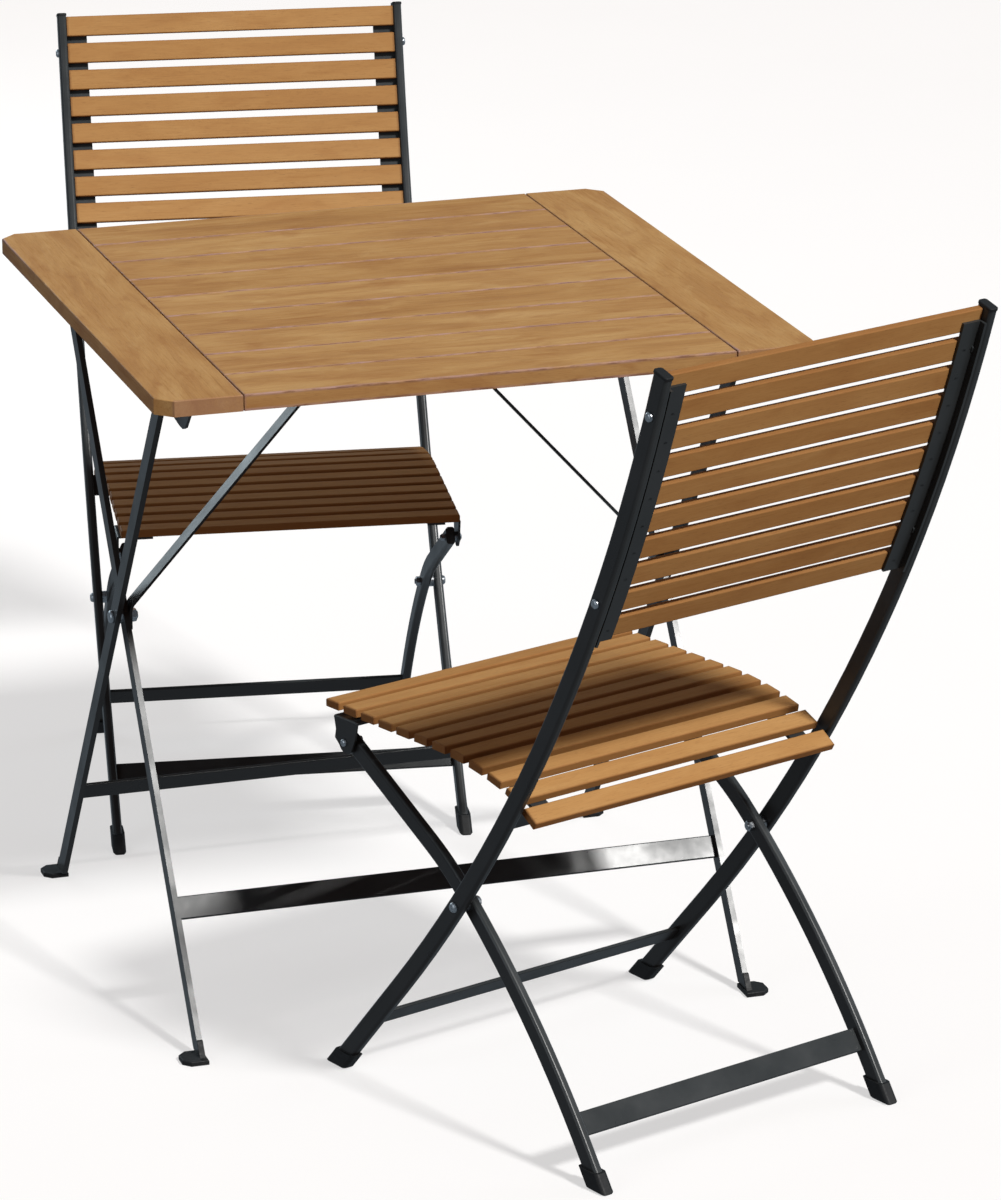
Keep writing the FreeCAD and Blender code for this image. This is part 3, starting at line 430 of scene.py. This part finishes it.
def wooden_piece(node, rounding_width, body, draw):
    """A board node rebuilt with rounded edges and with grain coordinates for every board in it."""
    mesh = bmesh.new()
    mesh.from_mesh(frame["nodes"][node].data)
    bmesh.ops.remove_doubles(mesh, verts=mesh.verts, dist=WELD_DISTANCE)
    bmesh.ops.dissolve_limit(mesh, angle_limit=FLAT_ANGLE, verts=mesh.verts, edges=mesh.edges)
    mesh.verts.ensure_lookup_table()
    mesh.verts.index_update()
    grain = mesh.verts.layers.float_vector.new("grain")
    half_sizes = mesh.verts.layers.float_vector.new("half_sizes")
    tone = mesh.verts.layers.float.new("tone")
    boards = [(vertices, *board_axes(vertices)) for vertices in islands(mesh)]
    boards.sort(key=lambda board: tuple(round(c, 4) for c in board[2]))
    for vertices, axes, middle, half in boards:
        board_tone = draw.random()
        for vertex in vertices:
            vertex[grain] = Vector(axes @ np.array(vertex.co) - middle)
            vertex[half_sizes] = Vector(half)
            vertex[tone] = board_tone
    data = bpy.data.meshes.new(node + "_wood")
    mesh.to_mesh(data)
    mesh.free()
    for polygon in data.polygons:
        polygon.use_smooth = True
    piece = place_in_scene(node + "_wood", data)
    rounding = piece.modifiers.new("rounding", "BEVEL")
    rounding.width = rounding_width
    rounding.segments = ROUNDING_SEGMENTS
    rounding.limit_method = "ANGLE"
    rounding.angle_limit = SHARP_ANGLE
    rounding.harden_normals = True
    flat_faces = piece.modifiers.new("flat_faces", "WEIGHTED_NORMAL")
    flat_faces.mode = "FACE_AREA"
    flat_faces.weight = 100
    data.materials.append(MATERIALS["table_wood" if node.startswith("table") else "chair_wood"])
    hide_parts(node)
    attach(piece, body)


def blacken_screws(mesh, joint_name):
    """The slat screws and the nuts, inside the tubes, are black; the bolt heads stay bright."""
    joint = [j for j in frame["joints"] if j["name"] == joint_name][0]
    axis = Vector(joint["axis"])
    middle = Vector(joint["pos_m"])
    mesh.materials.append(MATERIALS["coated_steel"])
    for polygon in mesh.polygons:
        if abs((polygon.center - middle).dot(axis)) < SCREW_REACH:
            polygon.material_index = 1


def dress_nodes():
    """Wood nodes are rebuilt, and every other node gets the material of its kind."""
    draw = random.Random(TONE_SEED)
    for body, members in sorted(frame["record"]["behaviour"]["bodies"].items()):
        for node in sorted(members):
            widths = [width for ending, width in WOODEN.items() if node.endswith(ending)]
            if widths:
                wooden_piece(node, widths[0], body, draw)
                continue
            kind = "coated_steel"
            if node.endswith(PLASTIC_ENDINGS):
                kind = "black_plastic"
            if node.endswith(ZINC_ENDINGS):
                kind = "zinc_steel"
            mesh = frame["nodes"][node].data
            mesh.materials.clear()
            mesh.materials.append(MATERIALS[kind])
            if node.endswith("back_fixings"):
                blacken_screws(mesh, node.replace("back_fixings", "leg_fold"))


# --- surroundings ------------------------------------------------------------------------------
def lit_floor_material():
    """A white sweep that is also lit from within, so that shadows on it stay pale."""
    g = Graph("pale_floor")
    mottle = g.noise(g.position(), 3.0, 3.0)
    shades = ((0.3, (0.375, 0.375, 0.375)), (0.7, (0.380, 0.380, 0.380)))
    return g.finish(
        Base_Color=g.colours(mottle, shades),
        Roughness=0.9,
        Specular_IOR_Level=0.1,
        Emission_Color=(1.0, 1.0, 1.0, 1.0),
        Emission_Strength=FLOOR_GLOW,
    )


def make_floor():
    """A flat round floor whose far rim curves up, so that no horizon shows from the sides."""
    ground = cad_low.z - FLOOR_BELOW
    points = []
    for radius, rise in FLOOR_RINGS:
        for step in range(FLOOR_STEPS):
            turn = math.tau * step / FLOOR_STEPS
            points.append((radius * math.cos(turn), radius * math.sin(turn), ground + rise))
    faces = [tuple(range(FLOOR_STEPS))]
    for ring in range(len(FLOOR_RINGS) - 1):
        for step in range(FLOOR_STEPS):
            here = ring * FLOOR_STEPS + step
            beside = ring * FLOOR_STEPS + (step + 1) % FLOOR_STEPS
            faces.append((here, beside, beside + FLOOR_STEPS, here + FLOOR_STEPS))
    data = bpy.data.meshes.new("floor")
    data.from_pydata(points, [], faces)
    data.materials.append(lit_floor_material())
    floor = place_in_scene("floor", data)
    # It throws no light back on the set, and it hides no light that comes from below.
    floor.visible_diffuse = False
    floor.visible_glossy = False
    floor.visible_shadow = False


def shine_from(light, direction):
    """Turns a light so that it shines from this direction."""
    light.rotation_mode = "QUATERNION"
    light.rotation_quaternion = direction.to_track_quat("Z", "Y")


def far_light(name, direction, strength, angle, colour):
    """A soft light that shines evenly from far away."""
    data = bpy.data.lights.new(name, "SUN")
    data.energy = strength
    data.angle = math.radians(angle)
    data.color = colour
    light = place_in_scene(name, data)
    light.location = Vector(direction) * FAR_LIGHT_DISTANCE
    shine_from(light, Vector(direction))
    return light


def soft_box(name, place, target, size, power, colour):
    """A rectangular light that faces its target and that the camera doesn't see."""
    data = bpy.data.lights.new(name, "AREA")
    data.shape = "RECTANGLE"
    data.size, data.size_y = size
    data.energy = power
    data.color = colour
    light = place_in_scene(name, data)
    light.location = place
    light.visible_camera = False
    shine_from(light, place - target)


def make_lights():
    """A key light, a warm fill without reflections, and a cool sky and soft boxes for the sheen."""
    world = bpy.data.worlds.new("studio")
    world.use_nodes = True
    background = world.node_tree.nodes["Background"]
    background.inputs["Color"].default_value = SKY_COLOUR
    background.inputs["Strength"].default_value = SKY_STRENGTH
    bpy.context.scene.world = world
    world.cycles_visibility.diffuse = False
    far_light("key", KEY_DIRECTION, KEY_STRENGTH, KEY_ANGLE, KEY_COLOUR)
    for name, side in (("front_fill", -1.0), ("back_fill", 1.0)):
        fill = far_light(name, (0.0, side, 0.0), FILL_STRENGTH, FILL_ANGLE, FILL_COLOUR)
        fill.visible_glossy = False
    middle = (cad_low + cad_high) / 2
    for name, place, size, power, colour in SOFT_BOXES:
        soft_box(name, middle + Vector(place), middle, size, power, colour)


def make_camera():
    """The camera stands before the table, a little to its left, and looks down on it."""
    left_low, left_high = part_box("table_end_board_left")
    right_low, right_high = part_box("table_end_board_right")
    low = Vector(map(min, left_low, right_low))
    high = Vector(map(max, left_high, right_high))
    ground = Vector(((low.x + high.x) / 2, (low.y + high.y) / 2, 0.0))
    place = ground + Vector(CAMERA_PLACE)
    forward = Vector(CAMERA_FORWARD).normalized()
    right = Vector(CAMERA_RIGHT).normalized()
    up = right.cross(forward).normalized()
    data = bpy.data.cameras.new("camera")
    data.sensor_fit = "AUTO"
    data.sensor_width = CAMERA_SENSOR
    data.lens = CAMERA_LENS
    data.clip_start, data.clip_end = CAMERA_CLIP
    camera = place_in_scene("camera", data)
    camera.matrix_world = Matrix((
        (right.x, up.x, -forward.x, place.x),
        (right.y, up.y, -forward.y, place.y),
        (right.z, up.z, -forward.z, place.z),
        (0.0, 0.0, 0.0, 1.0),
    ))
    bpy.context.scene.camera = camera


bpy.context.scene.view_settings.view_transform = "Standard"
dress_nodes()
make_floor()
make_lights()
make_camera()
